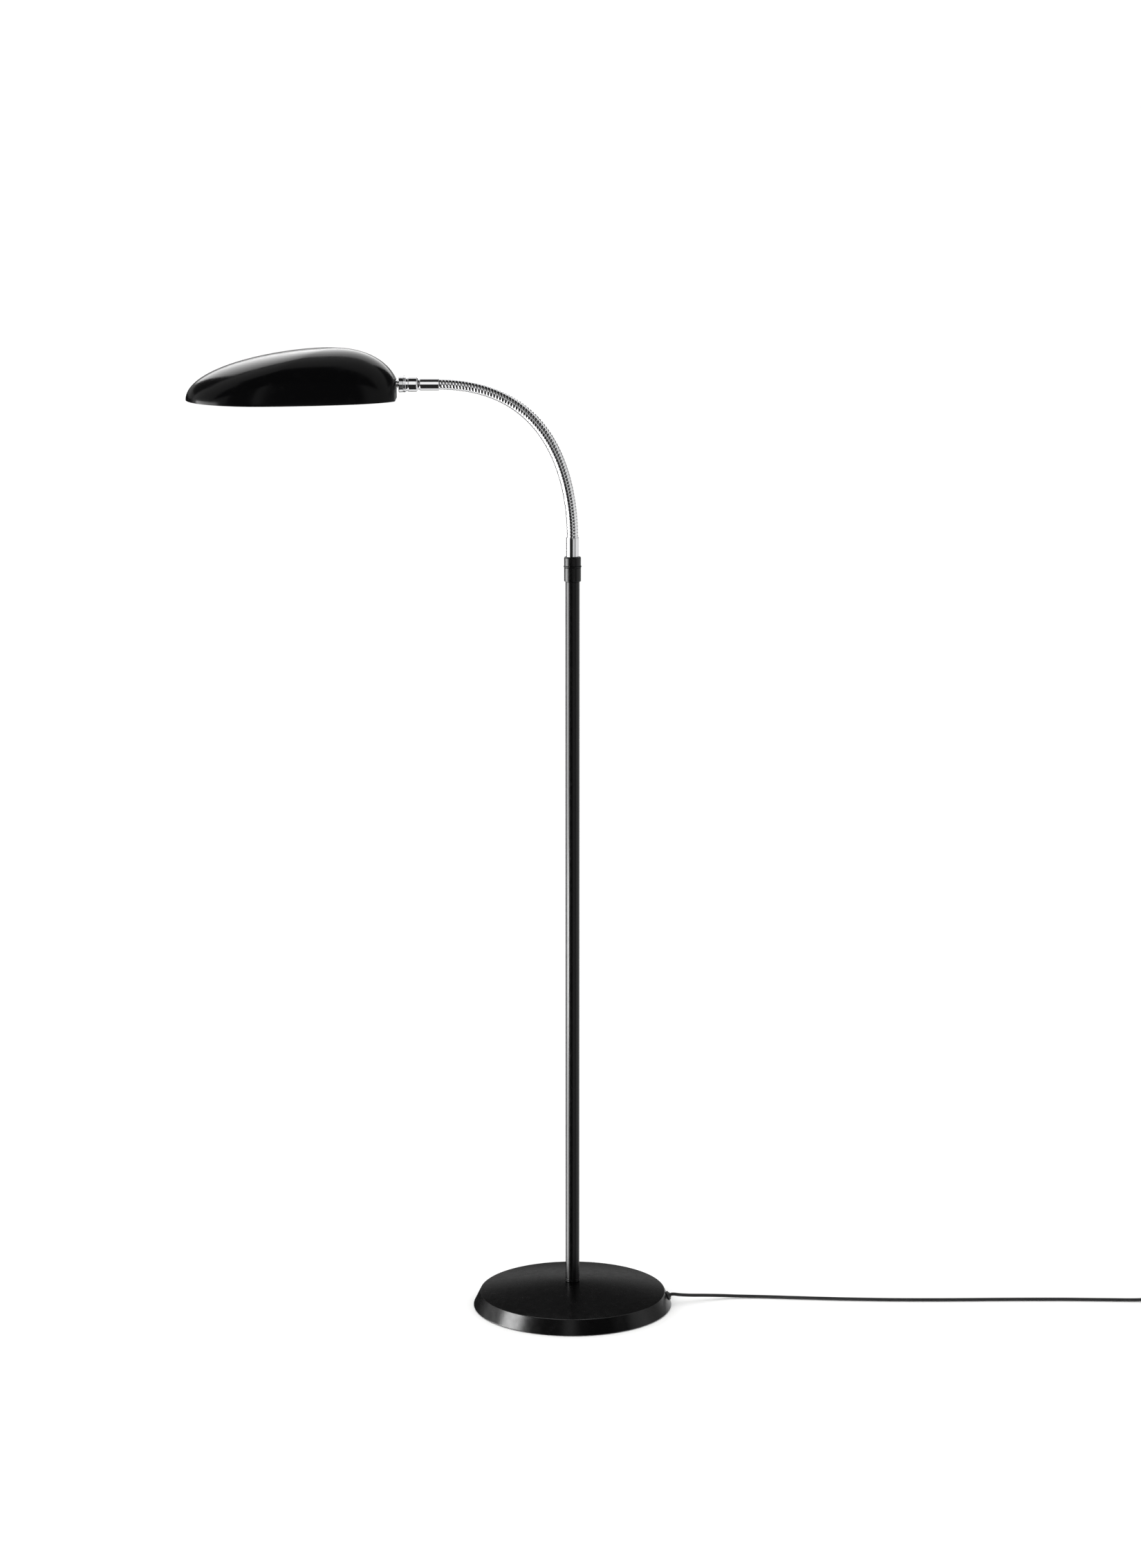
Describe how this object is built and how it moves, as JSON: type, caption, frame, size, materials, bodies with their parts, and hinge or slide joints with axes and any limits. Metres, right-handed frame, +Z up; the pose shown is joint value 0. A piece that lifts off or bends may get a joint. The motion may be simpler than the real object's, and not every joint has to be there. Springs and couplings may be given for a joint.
{
  "type": "adjustable arm floor lamp",
  "caption": "Floor lamp: weighted round base, slim straight post, swivelling chrome gooseneck and a hooded oval shade on a ball joint, with flex, foot switch and plug.",
  "frame": {"origin": "centre of the base's underside, on the post's axis", "axes": "+Z up the post, -X the way the gooseneck reaches at rest, +X the way the flex leaves the base"},
  "size_m": [1.5144, 0.2738, 1.3252],
  "materials": {
    "black_paint": "satin black powder coat",
    "shade_paint": "spun aluminium, gloss black outside and matt white inside",
    "chrome": "polished chrome plate",
    "steel": "zinc plated",
    "cast_iron": "raw casting",
    "felt": "pressed felt",
    "black_plastic": "fine moulded texture",
    "white_plastic": "moulded",
    "lead_sheath": "smooth sheath",
    "brass": "bright",
    "opal_glass": "opal white",
    "cord_textile": "braided textile over a round flex"
  },
  "bodies": {
    "stand": {"base_cover": "black_paint", "base_weight": "cast_iron", "base_felt": "felt", "cord_bushing": "black_plastic", "cord_clamp": "steel", "clamp_screw": "steel", "foot_nipple": "steel", "foot_nut": "steel", "foot_washer": "steel", "post_foot_ring": "black_paint", "post_foot_plug": "steel", "post_tube": "black_paint", "post_top_plug": "steel", "collar_sleeve": "black_paint", "collar_ring": "black_paint", "inner_lead": "lead_sheath", "cord_lead": "cord_textile", "cord_coil": "cord_textile", "coil_tie": "black_plastic", "plug_body": "black_plastic", "plug_pin_near": "brass", "plug_pin_far": "brass", "switch_base": "black_plastic", "switch_cover": "black_plastic", "switch_core": "white_plastic", "switch_screw": "steel", "switch_spring": "steel"},
    "swivel": {"collar_cap": "black_paint", "neck_lower_ferrule": "chrome", "swivel_bolt": "steel", "swivel_nut": "steel", "swivel_washer": "steel", "hose_00": "chrome", "neck_lead": "lead_sheath"},
    "neck_1": {"hose_01": "chrome"},
    "neck_2": {"hose_02": "chrome"},
    "neck_3": {"hose_03": "chrome"},
    "neck_4": {"hose_04": "chrome"},
    "neck_5": {"hose_05": "chrome"},
    "neck_6": {"hose_06": "chrome"},
    "neck_7": {"hose_07": "chrome"},
    "tip": {"hose_08": "chrome", "neck_upper_ferrule": "chrome", "head_set_screw": "steel", "joint_coupling": "chrome", "joint_nut": "chrome", "cup_spring": "steel"},
    "cup": {"friction_cup": "white_plastic"},
    "stem": {"ball_stem": "chrome"},
    "shade": {"shade_shell": "shade_paint", "stem_nut": "steel", "holder_bracket": "steel", "holder_screw": "steel", "lampholder_body": "white_plastic", "lampholder_ring": "white_plastic", "lampholder_thread": "brass", "bulb_cap": "brass", "bulb_glass": "opal_glass", "shade_lead": "lead_sheath"},
    "button": {"switch_button": "black_plastic"}
  },
  "joints": [
    {"name": "arm_swivel", "type": "hinge", "parent": "stand", "child": "swivel", "pos_m": [0, 0, 1.0333], "axis": [0, 0, 1], "range_deg": [-170, 170]},
    {"name": "neck_bend_1", "type": "hinge", "parent": "swivel", "child": "neck_1", "pos_m": [-0.0003, 0, 1.0864], "axis": [0, -1, 0], "range_deg": [-9.8, 7.2], "deforming": ["neck_lead"]},
    {"name": "neck_sway_1", "type": "hinge", "parent": "neck_1", "child": "neck_2", "pos_m": [-0.0045, 0, 1.12609], "axis": [-0.9854, 0, -0.1705], "range_deg": [-15, 15]},
    {"name": "neck_bend_2", "type": "hinge", "parent": "neck_2", "child": "neck_3", "pos_m": [-0.01425, 0, 1.16478], "axis": [0, -1, 0], "range_deg": [-20.58, 15.12]},
    {"name": "neck_sway_2", "type": "hinge", "parent": "neck_3", "child": "neck_4", "pos_m": [-0.03071, 0, 1.2011], "axis": [-0.8622, 0, -0.5065], "range_deg": [-15, 15]},
    {"name": "neck_bend_3", "type": "hinge", "parent": "neck_4", "child": "neck_5", "pos_m": [-0.05495, 0, 1.23271], "axis": [0, -1, 0], "range_deg": [-22.5, 19]},
    {"name": "neck_sway_3", "type": "hinge", "parent": "neck_5", "child": "neck_6", "pos_m": [-0.08674, 0, 1.25668], "axis": [-0.4854, 0, -0.8743], "range_deg": [-15, 15]},
    {"name": "neck_bend_4", "type": "hinge", "parent": "neck_6", "child": "neck_7", "pos_m": [-0.12378, 0, 1.27133], "axis": [0, -1, 0], "range_deg": [-21.38, 18.05]},
    {"name": "neck_sway_4", "type": "hinge", "parent": "neck_7", "child": "tip", "pos_m": [-0.16321, 0, 1.27731], "axis": [-0.0564, 0, -0.9984], "range_deg": [-15, 15]},
    {"name": "shade_spin", "type": "hinge", "parent": "tip", "child": "cup", "pos_m": [-0.2237, 0, 1.2777], "axis": [-1, 0, 0], "range_deg": [-165, 165]},
    {"name": "shade_tilt", "type": "hinge", "parent": "cup", "child": "stem", "pos_m": [-0.2237, 0, 1.2777], "axis": [0, 1, 0], "range_deg": [-16, 16]},
    {"name": "shade_roll", "type": "hinge", "parent": "stem", "child": "shade", "pos_m": [-0.2237, 0, 1.2777], "axis": [-1, 0, 0], "range_deg": [-90, 90]},
    {"name": "switch_press", "type": "slide", "parent": "stand", "child": "button", "axis": [0, 0, -1], "range_m": [0, 0.0022], "stiffness_N_per_m": 900, "springref_m": -0.002, "deforming": ["switch_spring"]}
  ],
  "couplings": [
    {"joint": "neck_bend_2", "follows": "neck_bend_1", "ratio": 2.1},
    {"joint": "neck_bend_4", "follows": "neck_bend_3", "ratio": 0.95},
    {"joint": "neck_sway_2", "follows": "neck_sway_1", "ratio": 1},
    {"joint": "neck_sway_4", "follows": "neck_sway_3", "ratio": 1}
  ]
}
